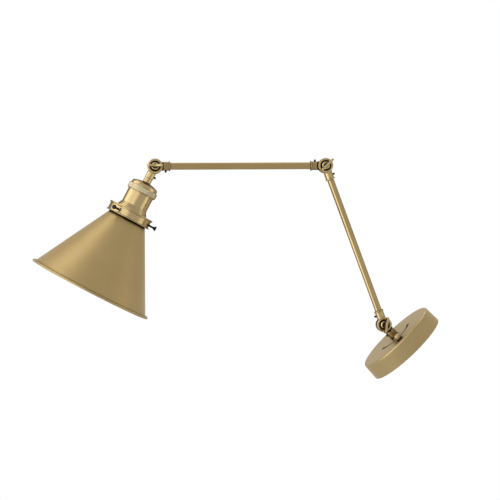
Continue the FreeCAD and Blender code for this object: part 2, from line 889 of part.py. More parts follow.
def shade_gallery():
    # A flat top with a rolled edge, a straight wall, and a lip round its foot.
    inside = gallery_radius - gallery_wall
    lip_edge = gallery_lip_radius - gallery_lip_thick / 2
    foot = gallery_low - gallery_lip_thick
    top_edge = gallery_top + gallery_top_thick
    ring = turned([
        (holder_radius + thread_gap, gallery_top),
        (lip_edge, gallery_top),
        ((gallery_lip_radius, gallery_top + gallery_top_thick / 2), (lip_edge, top_edge)),
        (gallery_radius, top_edge),
        (gallery_radius, foot),
        (lip_edge, foot),
        ((gallery_lip_radius, foot + gallery_lip_thick / 2), (lip_edge, gallery_low)),
        (inside, gallery_low),
        (inside, nut_face),
        (holder_radius + thread_gap, nut_face),
    ])
    for angle in gallery_screw_angles():
        hole = along_x(rod(gallery_screw_radius + thread_gap, inside - overrun, gallery_radius + overrun))
        ring = ring.cut(spun(shifted(hole, 0, 0, gallery_top + gallery_screw_drop), angle))
    return ring


def gallery_ring_nut():
    low, high = nut_face, nut_face + ring_nut_thick
    nut = pipe(ring_nut_radius, holder_radius + thread_gap, low, high)
    notch = box(ring_nut_notch_depth + overrun, ring_nut_notch_width, low - overrun, high + overrun)
    place = ring_nut_radius + (overrun - ring_nut_notch_depth) / 2
    for i in range(ring_nut_notches):
        nut = nut.cut(spun(shifted(notch, place, 0, 0), full_turn * i / ring_nut_notches))
    return nut


def gallery_screw(angle):
    # A thumb screw whose head flares out to a fluted grip.
    tip = gallery_radius + gallery_screw_proud
    head_low = tip - gallery_screw_head_length
    neck_low = head_low - gallery_screw_neck_length
    screw = turned([
        (0, shade_neck_radius + slide_gap),
        (gallery_screw_radius, shade_neck_radius + slide_gap),
        (gallery_screw_radius, neck_low),
        (gallery_screw_neck_radius, neck_low),
        (gallery_screw_neck_radius, head_low),
        (gallery_screw_head_radius, head_low + gallery_screw_flute_radius),
        (gallery_screw_head_radius, tip - gallery_screw_flute_radius),
        (gallery_screw_head_radius - gallery_screw_flute_radius, tip),
        (0, tip),
    ])
    flutes = []
    for i in range(gallery_screw_flutes):
        flute = rod(gallery_screw_flute_radius, head_low, tip + overrun)
        flutes.append(spun(shifted(flute, gallery_screw_head_radius, 0, 0), full_turn * i / gallery_screw_flutes))
    facing = along_x(screw.cut(flutes))
    return spun(shifted(facing, 0, 0, gallery_top + gallery_screw_drop), angle)


def lamp_insulator():
    # A ceramic cup: a floor that carries the contacts, and a wall round the screw shell.
    outer = holder_spigot_radius - holder_wall - thread_gap
    floor_low = insulator_floor + insulator_floor_thick
    shoulder = floor_low + insulator_shoulder
    mouth = outer - insulator_mouth_step
    cup = turned([
        (0, insulator_floor),
        (outer, insulator_floor),
        (outer, shoulder),
        (mouth, shoulder),
        (mouth, insulator_mouth),
        (insulator_bore_radius, insulator_mouth),
        (insulator_bore_radius, floor_low + insulator_ledge),
        (insulator_ledge_radius, floor_low + insulator_ledge),
        (insulator_ledge_radius, floor_low),
        (0, floor_low),
    ])
    for side_sign in (-1, 1):
        hole = rod(holder_screw_radius + thread_gap, insulator_floor - overrun, floor_low + overrun)
        cup = cup.cut(shifted(hole, side_sign * holder_screw_place, 0, 0))
    return cup


def lamp_screw_shell():
    # It stands on the ledge of the cup, clear of the spring tongue.
    low = insulator_floor + insulator_floor_thick + insulator_ledge
    return pipe(lamp_thread_radius + screw_shell_thick, lamp_thread_radius, low, low + screw_shell_length)


def centre_contact():
    # A spring tongue, riveted at its foot, that rises to the middle of the holder.
    low = insulator_floor + insulator_floor_thick
    high = low + contact_rise
    half_way = low + contact_rise / 2
    foot = contact_length / 2
    heel = -contact_heel_share * foot
    toe = contact_toe_share * foot
    tongue = outline([
        (-foot + contact_rivet_radius, low),
        (heel, low),
        ((-toe, half_way), (0, high)),
        (toe, high),
        (toe, high + contact_thick),
        (0, high + contact_thick),
        ((heel, half_way + contact_thick), (-contact_crook_share * foot, low + contact_thick)),
        (-foot + contact_rivet_radius, low + contact_thick),
    ]).extrude(Y_AXIS * contact_width)
    tongue = shifted(tongue, 0, -contact_width / 2, 0)
    rivet = rod(contact_rivet_radius, low + contact_thick / 2, low + 2 * contact_thick)
    return spun(tongue.fuse(shifted(rivet, -contact_rivet_share * foot, 0, 0)), quarter_turn)


def holder_terminal_screws():
    # Cheese-head screws on the back of the insulator that take the wires.
    screws = []
    for side_sign in (-1, 1):
        head = rod(holder_screw_head_radius, insulator_floor - holder_screw_head_height, insulator_floor)
        thread = rod(holder_screw_radius, insulator_floor, insulator_floor + insulator_floor_thick)
        drive = box(2 * holder_screw_head_radius + overrun, earth_slot_width,
                    insulator_floor - holder_screw_head_height - overrun,
                    insulator_floor - holder_screw_head_height + earth_slot_depth)
        screws.append(shifted(head.fuse(thread).cut(drive), side_sign * holder_screw_place, 0, 0))
    return screws


def shade():
    # A spun cone: a lipped neck inside the gallery, a straight cone and a rim rolled outwards.
    slope = math.tan(math.radians(shade_half_angle))
    lean = math.cos(math.radians(shade_half_angle))
    inner_shift = shade_wall / lean
    neck_top = nut_face + shade_neck_drop
    neck_low = gallery_low + shade_cone_drop
    apex = neck_low - shade_neck_radius / slope
    lip = shade_neck_radius + shade_neck_lip
    meet = shade_rim_place - shade_bead_radius
    outer_end = slope * (meet - apex)
    rim_radius = slope * (shade_rim_place - apex)
    bead_centre = rim_radius + shade_bead_radius
    neck_inside = shade_neck_radius - shade_wall
    inner_start = apex + (neck_inside + inner_shift) / slope
    cone = turned([
        (neck_inside, neck_top),
        (lip, neck_top),
        (lip, neck_top + shade_wall),
        (shade_neck_radius, neck_top + shade_wall),
        (shade_neck_radius, neck_low),
        (outer_end, meet),
        (bead_centre, shade_rim_place),
        (rim_radius - inner_shift, shade_rim_place),
        (neck_inside, inner_start),
    ])
    ring = Part.makeTorus(bead_centre, shade_bead_radius, FreeCAD.Vector(0, 0, shade_rim_place))
    return cone.fuse(ring)


def build():
    os.makedirs("parts", exist_ok=True)
    export("wall_bar", wall_bar())
    export("canopy_bar", canopy_bar())
    export("bar_rivet", bar_rivet())
    export("canopy_studs", canopy_studs())
    export("stud_locknuts", stud_locknuts())
    export("terminal_block", terminal_block())
    export("terminal_screws", terminal_screws())
    export("earth_screw", earth_screw())
    export("wall_canopy", canopy_dish())
    export("canopy_cap_nuts", canopy_cap_nuts())
    build_swivel()
    build_arms()
    build_head()


def build_swivel():
    export("pan_nipple", pan_nipple())
    export("pan_fibre_washer", pan_fibre_washer())
    export("pan_stop_plate", pan_stop_plate())
    export("pan_stop_pin", pan_stop_pin())
    export("pan_wave_washer", pan_wave_washer())
    export("pan_locknut", pan_locknut())
    export("base_post", from_pivot(base_post(), base_pivot, post_angle))
    grub = set_screw(1, nipple_radius + slide_gap, post_radius + post_screw_proud)
    export("post_set_screw", from_pivot(grub, base_pivot, post_angle))
    export("base_friction_washer", from_pivot(friction_washer(), base_pivot, post_angle))
    export("wing_screw_base", from_pivot(wing_screw(wing_turn_base), base_pivot, quarter_turn))


def build_arms():
    back_down = lower_arm_angle + half_turn
    back_up = upper_arm_angle - half_turn
    export("base_knuckle", from_pivot(arm_knuckle(1, -1), base_pivot, lower_arm_angle))
    export("lower_arm_tube", from_pivot(arm_tube(), base_pivot, lower_arm_angle))
    export("elbow_front_knuckle", from_pivot(arm_knuckle(1, -1), elbow_pivot, back_down))
    export("lower_arm_set_screws", [
        from_pivot(tail_screw(-1), base_pivot, lower_arm_angle),
        from_pivot(tail_screw(-1), elbow_pivot, back_down),
    ])
    export("elbow_back_knuckle", from_pivot(arm_knuckle(-1, 1), elbow_pivot, upper_arm_angle))
    export("upper_arm_tube", from_pivot(arm_tube(), elbow_pivot, upper_arm_angle))
    export("head_back_knuckle", from_pivot(arm_knuckle(-1, 1), head_pivot, back_up))
    export("upper_arm_set_screws", [
        from_pivot(tail_screw(1), elbow_pivot, upper_arm_angle),
        from_pivot(tail_screw(1), head_pivot, back_up),
    ])
    export("elbow_friction_washer", from_pivot(friction_washer(), elbow_pivot, upper_arm_angle))
    export("head_friction_washer", from_pivot(friction_washer(), head_pivot, back_up))
    export("wing_screw_elbow", from_pivot(wing_screw(wing_turn_elbow), elbow_pivot, quarter_turn))
    export("wing_screw_head", from_pivot(wing_screw(wing_turn_head), head_pivot, quarter_turn))


def build_head():
    pieces = {
        "head_knuckle": head_knuckle(),
        "head_set_screw": set_screw(-1, nipple_radius + slide_gap, tail_radius + set_screw_proud),
        "neck_collar": neck_collar(),
        "holder_nipple": holder_nipple(),
        "holder_locknut": holder_locknut(),
        "holder_cap": holder_cap(),
        "knurled_band": knurled_band(),
        "holder_shell": holder_shell(),
        "shade_gallery": shade_gallery(),
        "gallery_ring_nut": gallery_ring_nut(),
        "lamp_insulator": lamp_insulator(),
        "lamp_screw_shell": lamp_screw_shell(),
        "centre_contact": centre_contact(),
        "shade": shade(),
    }
    for name, shape in pieces.items():
        export(name, from_pivot(shape, head_pivot, head_angle))
    screws = [from_pivot(one, head_pivot, head_angle) for one in holder_terminal_screws()]
    export("holder_terminal_screws", screws)
    for i, angle in enumerate(gallery_screw_angles()):
        export("gallery_screw_" + str(i + 1), from_pivot(gallery_screw(angle), head_pivot, head_angle))


build()
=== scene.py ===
import json
import math

import bmesh
import bpy
from mathutils import Matrix, Vector

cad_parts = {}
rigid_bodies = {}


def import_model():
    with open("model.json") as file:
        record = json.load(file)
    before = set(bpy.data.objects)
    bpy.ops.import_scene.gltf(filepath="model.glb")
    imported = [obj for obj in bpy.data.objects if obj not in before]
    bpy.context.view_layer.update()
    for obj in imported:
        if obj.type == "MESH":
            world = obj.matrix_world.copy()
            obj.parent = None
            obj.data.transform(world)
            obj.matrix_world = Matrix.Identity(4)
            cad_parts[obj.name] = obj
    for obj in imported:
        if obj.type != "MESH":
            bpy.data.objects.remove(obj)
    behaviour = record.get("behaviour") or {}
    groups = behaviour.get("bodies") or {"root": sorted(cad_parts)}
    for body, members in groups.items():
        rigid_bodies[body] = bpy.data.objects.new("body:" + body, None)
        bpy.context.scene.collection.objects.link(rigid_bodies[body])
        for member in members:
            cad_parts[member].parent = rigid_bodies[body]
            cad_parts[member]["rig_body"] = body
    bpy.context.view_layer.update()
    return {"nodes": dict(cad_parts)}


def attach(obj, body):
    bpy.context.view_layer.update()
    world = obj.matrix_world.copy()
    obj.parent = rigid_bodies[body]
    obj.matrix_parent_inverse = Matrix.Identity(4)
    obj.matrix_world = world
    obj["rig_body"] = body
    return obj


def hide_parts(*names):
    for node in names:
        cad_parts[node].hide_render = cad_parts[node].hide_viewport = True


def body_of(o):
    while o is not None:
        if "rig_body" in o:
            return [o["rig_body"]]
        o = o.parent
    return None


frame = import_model()
nodes = frame["nodes"]
print("frame loaded:", len(nodes), "nodes")

millimetre = 0.001
mergeDistance = 0.0001  # in millimetres: points of a new mesh that are nearer than this become one


def turned(degrees, axis):
    return Matrix.Rotation(math.radians(degrees), 4, axis)


# The camera of the photograph, in which the lamp lies rolled over.
cameraView = {
    "azimuth": 86.78, "elevation": -3.59, "roll": 45.95,
    "target": (0.0, -0.2666, -0.0662),
    "distance": 1.905,
    "lens": 93.6,
    "sensor": 36.0,
}


def placeCamera(values):
    side, rise, roll = (math.radians(values[key]) for key in ("azimuth", "elevation", "roll"))
    back = Vector((math.sin(side) * math.cos(rise), -math.cos(side) * math.cos(rise), math.sin(rise)))
    right = Vector((0, 0, 1)).cross(back).normalized()
    up = back.cross(right)
    turnedRight = right * math.cos(roll) + up * math.sin(roll)
    turnedUp = up * math.cos(roll) - right * math.sin(roll)
    data = bpy.data.cameras.new("photoCamera")
    data.lens = values["lens"]
    data.sensor_width = values["sensor"]
    camera = bpy.data.objects.new("photoCamera", data)
    bpy.context.scene.collection.objects.link(camera)
    camera.location = Vector(values["target"]) + back * values["distance"]
    camera.rotation_euler = Matrix((turnedRight, turnedUp, back)).transposed().to_euler()
    bpy.context.scene.camera = camera
    return turnedRight, turnedUp, back


imageRight, imageUp, towardsCamera = placeCamera(cameraView)
print("camera placed")


# Where the arm's joints are, as in the solids: angles run from +Y towards +Z in the plane x = 0.
armValues = {
    "baseHeight": 49.7, "length": 250.0,
    "lowerAngle": 156.4, "upperAngle": 226.6, "headAngle": 288.4,
}


def armStep(length, degrees):
    angle = math.radians(degrees)
    return Vector((0, math.cos(angle), math.sin(angle))) * length * millimetre


basePivot = Vector((0, -armValues["baseHeight"], 0)) * millimetre
elbowPivot = basePivot + armStep(armValues["length"], armValues["lowerAngle"])
headPivot = elbowPivot + armStep(armValues["length"], armValues["upperAngle"])


def placeAt(pivot, degrees):
    # a piece's own +Z runs along the direction of the angle
    return Matrix.Translation(pivot) @ turned(degrees - 90, "X")


headPlace = placeAt(headPivot, armValues["headAngle"])
lowerPlace = placeAt(basePivot, armValues["lowerAngle"])
upperPlace = placeAt(elbowPivot, armValues["upperAngle"])
wallPlace = turned(90, "X")


def addNode(tree, kind, inputs=None, **settings):
    # inputs are values, or the sockets that feed them, by the socket's name or number
    node = tree.nodes.new(kind)
    for key, value in settings.items():
        setattr(node, key, value)
    for key, value in (inputs or {}).items():
        if isinstance(value, bpy.types.NodeSocket):
            tree.links.new(value, node.inputs[key])
        else:
            node.inputs[key].default_value = value
    return node


def doMath(tree, operation, *values):
    return addNode(tree, "ShaderNodeMath", dict(enumerate(values)), operation=operation).outputs[0]


def doVectorMath(tree, operation, inputs, result="Vector"):
    return addNode(tree, "ShaderNodeVectorMath", inputs, operation=operation).outputs[result]


def mixColours(tree, share, first, second):
    return addNode(tree, "ShaderNodeMix", {0: share, 6: first, 7: second}, data_type="RGBA").outputs[2]


def addNoise(tree, where, scale, detail, roughness=0.5):
    inputs = {"Vector": where, "Scale": scale, "Detail": detail, "Roughness": roughness}
    return addNode(tree, "ShaderNodeTexNoise", inputs).outputs["Fac"]


def mapRange(tree, value, fromLow, fromHigh, toLow=0.0, toHigh=1.0):
    inputs = {"Value": value, "From Min": fromLow, "From Max": fromHigh, "To Min": toLow, "To Max": toHigh}
    return addNode(tree, "ShaderNodeMapRange", inputs).outputs["Result"]


def newGroup(name, inputs, outputs):
    kinds = {"colour": "NodeSocketColor", "number": "NodeSocketFloat", "vector": "NodeSocketVector"}
    group = bpy.data.node_groups.new(name, "ShaderNodeTree")
    for label, kind in inputs.items():
        group.interface.new_socket(label, in_out="INPUT", socket_type=kinds[kind])
    for label, kind in outputs.items():
        group.interface.new_socket(label, in_out="OUTPUT", socket_type=kinds[kind])
    given = group.nodes.new("NodeGroupInput").outputs
    wanted = group.nodes.new("NodeGroupOutput").inputs
    return group, given, wanted


def useGroup(tree, group, inputs):
    return addNode(tree, "ShaderNodeGroup", inputs, node_tree=group).outputs


toneValues = {
    "driftDetail": 3.0, "driftRoughness": 0.55,
    "mottleDetail": 4.0, "mottleRoughness": 0.6, "mottleShare": 0.12,
    "darkBelow": 0.34, "lightAbove": 0.66,
}


def makeFadedTone(values):
    # slow drifts and a fine mottle between two colours, as on plated metal that has aged
    group, given, wanted = newGroup(
        "fadedTone",
        {"Vector": "vector", "Light": "colour", "Dark": "colour", "Drift Scale": "number", "Mottle Scale": "number"},
        {"Color": "colour", "Mask": "number"},
    )
    drift = addNoise(group, given["Vector"], given["Drift Scale"], values["driftDetail"], values["driftRoughness"])
    mottle = addNoise(group, given["Vector"], given["Mottle Scale"], values["mottleDetail"], values["mottleRoughness"])
    both = addNode(group, "ShaderNodeMix", {0: values["mottleShare"], 2: drift, 3: mottle}, data_type="FLOAT")
    mask = mapRange(group, both.outputs[0], values["darkBelow"], values["lightAbove"])
    group.links.new(mixColours(group, mask, given["Dark"], given["Light"]), wanted["Color"])
    group.links.new(mask, wanted["Mask"])
    return group


markValues = {"lineScale": 900.0, "runScale": 1.6, "detail": 4.0, "roughness": 0.65}


def makeTurningMarks(values):
    # fine lines round the piece's own axis, as a lathe or a spinning tool leaves them
    group, given, wanted = newGroup("turningMarks", {"Vector": "vector"}, {"Height": "number"})
    parts = addNode(group, "ShaderNodeSeparateXYZ", {"Vector": given["Vector"]}).outputs
    flat = addNode(group, "ShaderNodeCombineXYZ", {"X": parts["X"], "Y": parts["Y"]}).outputs[0]
    radius = doVectorMath(group, "LENGTH", {0: flat}, "Value")
    around = doVectorMath(group, "NORMALIZE", {0: flat})
    run = doVectorMath(group, "SCALE", {0: around, "Scale": values["runScale"]})
    total = doMath(group, "ADD", radius, parts["Z"])
    difference = doMath(group, "SUBTRACT", radius, parts["Z"])
    lines = addNode(group, "ShaderNodeCombineXYZ", {
        "X": doMath(group, "MULTIPLY", total, values["lineScale"]),
        "Y": doMath(group, "MULTIPLY", difference, values["lineScale"]),
    }).outputs[0]
    place = doVectorMath(group, "ADD", {0: lines, 1: run})
    group.links.new(addNoise(group, place, 1.0, values["detail"], values["roughness"]), wanted["Height"])
    return group


edgeValues = {
    "samples": 6, "flat": 0.995, "bent": 0.86,
    "speckleScale": 60.0, "speckleDetail": 1.0, "speckleLow": 0.3, "speckleHigh": 0.6, "leastWornAndLit": 0.6,
}


def makeRubbedAndLitEdges(values):
    # 1 on edges, 0 on flat faces: a painted highlight along the edges, partly standing for edges that hands and cloths
    #                              rub bright
    group, given, wanted = newGroup("rubbedAndLitEdges", {"Vector": "vector", "Width": "number"}, {"Mask": "number"})
    rounded = addNode(group, "ShaderNodeBevel", {"Radius": given["Width"]}, samples=values["samples"]).outputs[0]
    straight = addNode(group, "ShaderNodeNewGeometry").outputs["Normal"]
    agree = doVectorMath(group, "DOT_PRODUCT", {0: rounded, 1: straight}, "Value")
    bend = mapRange(group, agree, values["flat"], values["bent"])
    speckle = addNoise(group, given["Vector"], values["speckleScale"], values["speckleDetail"])
    wornAndHighlight = mapRange(group, speckle, values["speckleLow"], values["speckleHigh"], values["leastWornAndLit"])
    group.links.new(doMath(group, "MULTIPLY", bend, wornAndHighlight), wanted["Mask"])
    return group


def makeSoftEdges(values):
    # the small round that tumbling leaves on every edge
    group, given, wanted = newGroup("softEdges", {"Radius": "number"}, {"Normal": "vector"})
    rounded = addNode(group, "ShaderNodeBevel", {"Radius": given["Radius"]}, samples=values["samples"]).outputs[0]
    group.links.new(rounded, wanted["Normal"])
    return group


shadeAndPatinaValues = {"samples": 8, "open": 0.88}


def makeRecessShadeAndPatina(values):
    # 1 deep in corners and gaps: painted shade in the hollows, partly standing for dark patina left when the faces
    #                             were wiped
    group, given, wanted = newGroup("recessShadeAndPatina", {"Reach": "number", "Full At": "number"}, {"Mask": "number"})
    clear = addNode(group, "ShaderNodeAmbientOcclusion", {"Distance": given["Reach"]}, samples=values["samples"])
    group.links.new(mapRange(group, clear.outputs["AO"], values["open"], given["Full At"]), wanted["Mask"])
    return group


fadedTone = makeFadedTone(toneValues)
turningMarks = makeTurningMarks(markValues)
rubbedAndLitEdges = makeRubbedAndLitEdges(edgeValues)
softEdges = makeSoftEdges(edgeValues)
recessShadeAndPatina = makeRecessShadeAndPatina(shadeAndPatinaValues)
print("shader groups made")


def ownCoordinates(tree, place):
    # Object coordinates, turned and centred so that Z runs along the piece's axis
    where = addNode(tree, "ShaderNodeTexCoord").outputs["Object"]
    if place is None:
        return where
    back = place.inverted()
    inputs = {"Vector": where, "Location": back.to_translation(), "Rotation": back.to_euler()}
    return addNode(tree, "ShaderNodeMapping", inputs, vector_type="POINT").outputs[0]


def startFinish(name, place, values):
    # what every finish has: a mottled tone, and a face that is smoother where the tone is lighter
    material = bpy.data.materials.new(name)
    material.use_nodes = True
    tree = material.node_tree
    surface = tree.nodes["Principled BSDF"].inputs
    where = ownCoordinates(tree, place)
    tone = useGroup(tree, fadedTone, {
        "Vector": where, "Light": values["light"], "Dark": values["dark"],
        "Drift Scale": values["driftScale"], "Mottle Scale": values["mottleScale"]})
    smooth, rough = values["roughness"]
    tree.links.new(mapRange(tree, tone["Mask"], 0.0, 1.0, rough, smooth), surface["Roughness"])
    surface["Coat Weight"].default_value = values["coat"]
    return material, tree, surface, where, tone


def addBump(tree, where, values):
    # turning marks, or a fine grain on pieces that no lathe has touched
    if values["marks"]:
        height = useGroup(tree, turningMarks, {"Vector": where})["Height"]
    else:
        height = addNoise(tree, where, values["grainScale"], values["grainDetail"])
    return addNode(tree, "ShaderNodeBump", {
        "Strength": values["bumpStrength"], "Distance": values["bumpDistance"], "Height": height})


brassFinish = {
    "light": (0.345, 0.258, 0.121, 1), "dark": (0.305, 0.222, 0.098, 1), "driftScale": 9.0, "mottleScale": 520.0,
    # the default edgeTint is dark: it paints shade along the silhouettes, where the metal would reflect pale
    "wornAndHighlight": (0.58, 0.48, 0.29, 1), "patinaAndShade": (0.012, 0.008, 0.004, 1), "edgeTint": (0.15, 0.11, 0.07, 1),
    "roughness": (0.23, 0.28), "coat": 0.15, "coatRoughness": 0.2,
    "marks": True, "grainScale": 1500.0, "grainDetail": 3.0, "bumpStrength": 0.03, "bumpDistance": 0.00002,
    "patinaAndShadeReach": 0.003, "patinaAndShadeFull": 0.45, "wornAndHighlightWidth": 0.0005, "wornAndHighlightShare": 0.5, "softEdge": 0.0,
}

castFinish = {
    "marks": False, "softEdge": 0.0005, "patinaAndShadeReach": 0.005, "patinaAndShadeFull": 0.64,
    "wornAndHighlight": (0.80, 0.70, 0.47, 1), "wornAndHighlightWidth": 0.0008, "wornAndHighlightShare": 0.8,
}


def satinBrass(name, place, changes):
    values = {**brassFinish, **changes}
    material, tree, surface, where, tone = startFinish(name, place, values)
    surface["Metallic"].default_value = 1.0
    surface["Coat Roughness"].default_value = values["coatRoughness"]
    surface["Specular Tint"].default_value = values["edgeTint"]
    # the edges are lightened towards the worn colour: a painted highlight, partly real wear
    edges = useGroup(tree, rubbedAndLitEdges, {"Vector": where, "Width": values["wornAndHighlightWidth"]})
    # the hollows are darkened towards the patina colour: painted shade, partly dark patina
    shadeAndPatina = useGroup(tree, recessShadeAndPatina, {"Reach": values["patinaAndShadeReach"], "Full At": values["patinaAndShadeFull"]})
    share = doMath(tree, "MULTIPLY", edges["Mask"], values["wornAndHighlightShare"])
    rubbedAndLit = mixColours(tree, share, tone["Color"], values["wornAndHighlight"])
    tree.links.new(mixColours(tree, shadeAndPatina["Mask"], rubbedAndLit, values["patinaAndShade"]), surface["Base Color"])
    bump = addBump(tree, where, values)
    if values["softEdge"]:
        tree.links.new(useGroup(tree, softEdges, {"Radius": values["softEdge"]})["Normal"], bump.inputs["Normal"])
    tree.links.new(bump.outputs["Normal"], surface["Normal"])
    return material


brassKinds = {
    "headBrass": (headPlace, {
        "light": (0.365, 0.274, 0.132, 1), "dark": (0.325, 0.238, 0.108, 1), "wornAndHighlight": (0.76, 0.66, 0.45, 1),
        "patinaAndShadeReach": 0.0015, "patinaAndShadeFull": 0.25, "coat": 0.3}),
    "shadeBrass": (headPlace, {
        "light": (0.335, 0.243, 0.107, 1), "dark": (0.30, 0.212, 0.09, 1), "edgeTint": (0.95, 0.89, 0.78, 1),
        "roughness": (0.42, 0.48), "patinaAndShadeReach": 0.005, "patinaAndShadeFull": 0.7, "coat": 0.1}),
    "lowerBrass": (lowerPlace, {"roughness": (0.17, 0.22)}),
    # the upper tube: the same brass as the lower tube, painted darker as painted shade
    "upperBrass": (upperPlace, {
        "light": (0.315, 0.227, 0.10, 1), "dark": (0.275, 0.193, 0.08, 1), "roughness": (0.17, 0.22)}),
    "wallBrass": (wallPlace, {
        "light": (0.335, 0.252, 0.122, 1), "dark": (0.30, 0.216, 0.10, 1), "edgeTint": (0.92, 0.83, 0.70, 1),
        "roughness": (0.38, 0.46), "patinaAndShadeReach": 0.006, "patinaAndShadeFull": 0.68}),
    "castBrass": (None, {
        **castFinish, "light": (0.385, 0.29, 0.137, 1), "dark": (0.33, 0.24, 0.106, 1)}),
    # the post and the back knuckle halves: the cast brass painted darker, as painted shade
    "shadedCastBrass": (None, {
        **castFinish, "light": (0.265, 0.188, 0.081, 1), "dark": (0.20, 0.14, 0.057, 1)}),
    "knurledBrass": (headPlace, {
        "light": (0.385, 0.325, 0.20, 1), "dark": (0.335, 0.275, 0.16, 1),
        "roughness": (0.30, 0.36), "patinaAndShadeReach": 0.0015, "wornAndHighlightShare": 0.0}),
}

plainValues = {
    "driftScale": 30.0, "mottleScale": 900.0, "metallic": 0.0, "coat": 0.0, "shine": 0.5,
    "marks": False, "grainScale": 900.0, "grainDetail": 3.0, "bumpDistance": 0.0001,
}


def plainFinish(name, place, changes):
    values = {**plainValues, **changes}
    material, tree, surface, where, tone = startFinish(name, place, values)
    surface["Metallic"].default_value = values["metallic"]
    surface["Specular IOR Level"].default_value = values["shine"]
    tree.links.new(tone["Color"], surface["Base Color"])
    tree.links.new(addBump(tree, where, values).outputs["Normal"], surface["Normal"])
    return material


plainKinds = {
    "blackSteel": (None, {
        "light": (0.006, 0.005, 0.005, 1), "dark": (0.003, 0.003, 0.003, 1), "roughness": (0.22, 0.30),
        "shine": 0.15, "bumpStrength": 0.03}),
    "zincPlate": (None, {
        "light": (0.42, 0.42, 0.405, 1), "dark": (0.34, 0.35, 0.35, 1), "roughness": (0.34, 0.46),
        "metallic": 1.0, "bumpStrength": 0.03}),
    "darkSteel": (None, {
        "light": (0.030, 0.027, 0.025, 1), "dark": (0.016, 0.015, 0.014, 1), "roughness": (0.45, 0.6),
        "shine": 0.25, "bumpStrength": 0.05}),
    "fibre": (None, {
        "light": (0.055, 0.046, 0.038, 1), "dark": (0.026, 0.021, 0.018, 1), "roughness": (0.75, 0.92),
        "bumpStrength": 0.4}),
    "nickelShell": (headPlace, {
        "light": (0.60, 0.57, 0.52, 1), "dark": (0.50, 0.47, 0.43, 1), "roughness": (0.22, 0.32),
        "metallic": 1.0, "marks": True, "bumpStrength": 0.04}),
    "ceramic": (None, {
        "light": (0.86, 0.84, 0.78, 1), "dark": (0.82, 0.79, 0.72, 1), "roughness": (0.16, 0.24),
        "coat": 0.3, "bumpStrength": 0.03}),
    "terminalPlastic": (None, {
        "light": (0.84, 0.82, 0.76, 1), "dark": (0.80, 0.77, 0.71, 1), "roughness": (0.45, 0.6),
        "bumpStrength": 0.05}),
}

finishes = {name: satinBrass(name, place, changes) for name, (place, changes) in brassKinds.items()}
finishes.update({name: plainFinish(name, place, changes) for name, (place, changes) in plainKinds.items()})
print("finishes made:", len(finishes))


dressValues = {"weld": 0.000002, "crispAngle": 28.0}

dressedNodes = {
    "headBrass": ["holder_nipple", "holder_locknut", "gallery_ring_nut", "centre_contact", "holder_terminal_screws"],
    "wallBrass": ["wall_canopy", "pan_nipple", "pan_locknut", "terminal_screws", "earth_screw"],
    "castBrass": ["base_knuckle", "elbow_front_knuckle", "head_knuckle"],
    "shadedCastBrass": ["base_post", "elbow_back_knuckle", "head_back_knuckle"],
    "zincPlate": ["wall_bar", "canopy_bar", "bar_rivet", "canopy_studs", "stud_locknuts"],
    "darkSteel": ["pan_stop_plate", "pan_stop_pin", "pan_wave_washer"],
    "fibre": ["pan_fibre_washer", "base_friction_washer", "elbow_friction_washer", "head_friction_washer"],
    "terminalPlastic": ["terminal_block"],
}


def dressNode(node, material, values):
    # the carried-over nodes are loose triangles: a weld and an edge split give smooth faces and crisp corners
    piece = nodes[node]
    piece.data.materials.clear()
    piece.data.materials.append(material)
    for face in piece.data.polygons:
        face.use_smooth = True
        face.material_index = 0
    weld = piece.modifiers.new("weld", "WELD")
    weld.merge_threshold = values["weld"]
    split = piece.modifiers.new("crisp", "EDGE_SPLIT")
    split.split_angle = math.radians(values["crispAngle"])


for finish, names in dressedNodes.items():
    for node in names:
        dressNode(node, finishes[finish], dressValues)
print("carried-over nodes dressed")


def drawOutline(corners, closed=True, segments=3):
    # corners are (radius, height), (radius, height, round) or (radius, height, round, segments), in millimetres
    mesh = bmesh.new()
    spots = [mesh.verts.new((corner[0], 0, corner[1])) for corner in corners]
    for first, second in zip(spots, spots[1:] + (spots[:1] if closed else [])):
        mesh.edges.new((first, second))
    for spot, corner in zip(spots, corners):
        if len(corner) > 2:
            bmesh.ops.bevel(mesh, geom=[spot], offset=corner[2], segments=corner[3] if len(corner) > 3 else segments,
                            profile=0.5, affect="VERTICES", material=-1)
    return mesh


def spinOnce(mesh, steps):
    bmesh.ops.spin(mesh, geom=mesh.verts[:] + mesh.edges[:], cent=(0, 0, 0), axis=(0, 0, 1), angle=math.tau,
                   steps=steps, use_merge=True)
    bmesh.ops.remove_doubles(mesh, verts=mesh.verts, dist=mergeDistance)
    bmesh.ops.recalc_face_normals(mesh, faces=mesh.faces)
    return mesh


def turnOutline(corners, steps, closed=True):
    return spinOnce(drawOutline(corners, closed), steps)


def turnFluted(corners, flutes, closed=True):
    # every third column of a turned rim is pressed in, as a knurling wheel leaves it
    columns = flutes["count"] * 3
    mesh = turnOutline(corners, columns, closed)
    pressed = []
    for spot in mesh.verts:
        reach = math.hypot(spot.co.x, spot.co.y)
        column = round(math.atan2(spot.co.y, spot.co.x) / math.tau * columns)
        if reach > flutes["radius"] and flutes["low"] < spot.co.z < flutes["high"] and column % 3 == 0:
            pressed.append(spot)
    share = 1 - flutes["depth"] / flutes["radius"]
    bmesh.ops.scale(mesh, vec=(share, share, 1), verts=pressed)
    return mesh


def addCopy(mesh, other, place):
    # another mesh is set into this one at its place
    bmesh.ops.transform(other, matrix=place, verts=other.verts)
    carried = bpy.data.meshes.new("carried")
    other.to_mesh(carried)
    other.free()
    mesh.from_mesh(carried)
    bpy.data.meshes.remove(carried)


def inMillimetres(place):
    shift = place.to_translation() / millimetre
    return Matrix.Translation(shift) @ place.to_3x3().to_4x4()


sharpAngle = 35.0


